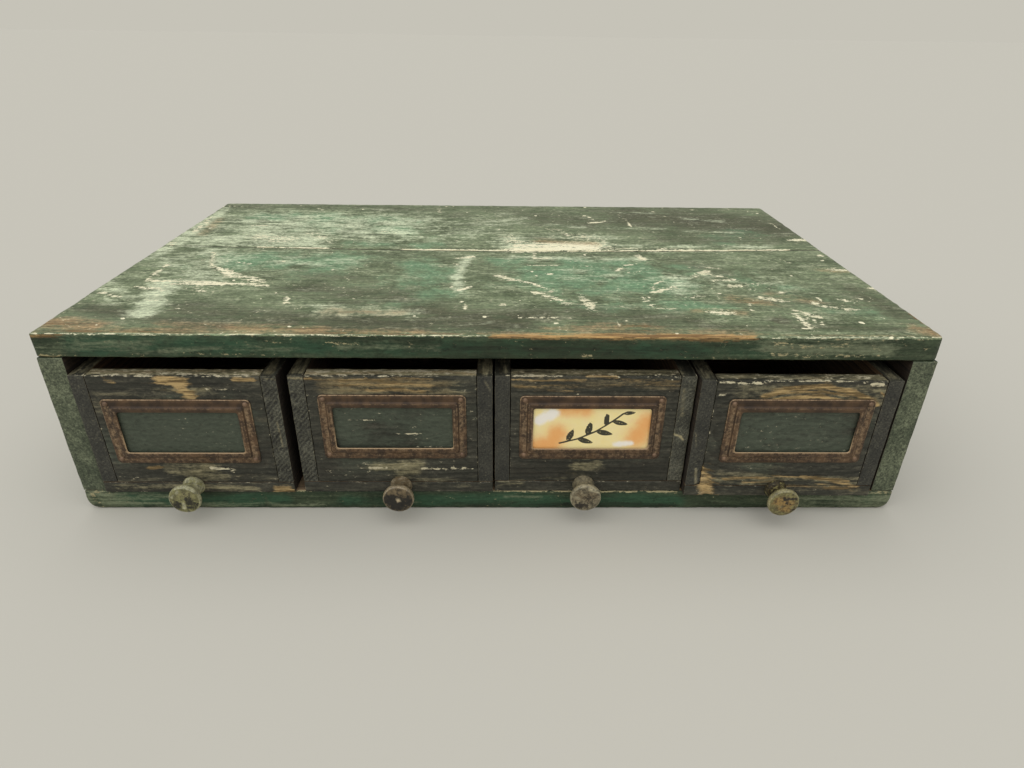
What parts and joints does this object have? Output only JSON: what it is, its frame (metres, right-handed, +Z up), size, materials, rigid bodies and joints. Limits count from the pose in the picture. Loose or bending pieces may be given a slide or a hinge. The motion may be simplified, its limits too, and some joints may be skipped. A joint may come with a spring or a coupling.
{
  "type": "seed cabinet",
  "caption": "Low tabletop seed cabinet: painted pine case with long sliding drawers side by side, each with a pressed metal label frame and a turned knob.",
  "frame": {"origin": "centre of the case's underside, on the surface that it stands on", "axes": "+Z up, +X along the case's width to the viewer's right, -Y out of the front, the way the drawers open"},
  "size_m": [0.66, 0.4215, 0.156],
  "materials": {
    "case_paint": "worn dark green paint on pine boards, rubbed to the wood along the edges",
    "drawer_paint": "blackened green paint on sawn pine, worn along the grain",
    "bare_wood": "unpainted aged pine",
    "frame_metal": "pressed sheet with a brown coppery patina, bright along its edges",
    "knob_paint": "turned wood with worn olive paint",
    "nails": "rusty iron",
    "card": "printed card in warm yellow and orange"
  },
  "bodies": {
    "case": {"bottom_front_board": "case_paint", "bottom_rear_board": "case_paint", "left_side": "case_paint", "right_side": "case_paint", "back_board": "bare_wood", "top_front_board": "case_paint", "top_rear_board": "case_paint", "bottom_nails": "nails", "back_nails": "nails", "top_nails": "nails"},
    "drawer_1": {"drawer_1_bottom": "drawer_paint", "drawer_1_left_side": "drawer_paint", "drawer_1_right_side": "drawer_paint", "drawer_1_front": "drawer_paint", "drawer_1_back": "bare_wood", "drawer_1_nails": "nails", "drawer_1_label_frame": "frame_metal", "drawer_1_frame_pins": "frame_metal", "drawer_1_knob_screw": "nails", "drawer_1_knob": "knob_paint"},
    "drawer_2": {"drawer_2_bottom": "drawer_paint", "drawer_2_left_side": "drawer_paint", "drawer_2_right_side": "drawer_paint", "drawer_2_front": "drawer_paint", "drawer_2_back": "bare_wood", "drawer_2_nails": "nails", "drawer_2_label_frame": "frame_metal", "drawer_2_frame_pins": "frame_metal", "drawer_2_knob_screw": "nails", "drawer_2_knob": "knob_paint"},
    "drawer_3": {"drawer_3_bottom": "drawer_paint", "drawer_3_left_side": "drawer_paint", "drawer_3_right_side": "drawer_paint", "drawer_3_front": "drawer_paint", "drawer_3_back": "bare_wood", "drawer_3_nails": "nails", "drawer_3_label_frame": "frame_metal", "drawer_3_frame_pins": "frame_metal", "drawer_3_knob_screw": "nails", "drawer_3_knob": "knob_paint", "drawer_3_card": "card"},
    "drawer_4": {"drawer_4_bottom": "drawer_paint", "drawer_4_left_side": "drawer_paint", "drawer_4_right_side": "drawer_paint", "drawer_4_front": "drawer_paint", "drawer_4_back": "bare_wood", "drawer_4_nails": "nails", "drawer_4_label_frame": "frame_metal", "drawer_4_frame_pins": "frame_metal", "drawer_4_knob_screw": "nails", "drawer_4_knob": "knob_paint"}
  },
  "joints": [
    {"name": "drawer_1_slide", "type": "slide", "parent": "case", "child": "drawer_1", "axis": [0, -1, 0], "range_m": [-0.0022, 0.27]},
    {"name": "drawer_2_slide", "type": "slide", "parent": "case", "child": "drawer_2", "axis": [0, -1, 0], "range_m": [-0.0012, 0.27]},
    {"name": "drawer_3_slide", "type": "slide", "parent": "case", "child": "drawer_3", "axis": [0, -1, 0], "range_m": [0, 0.27]},
    {"name": "drawer_4_slide", "type": "slide", "parent": "case", "child": "drawer_4", "axis": [0, -1, 0], "range_m": [-0.0062, 0.27]}
  ]
}
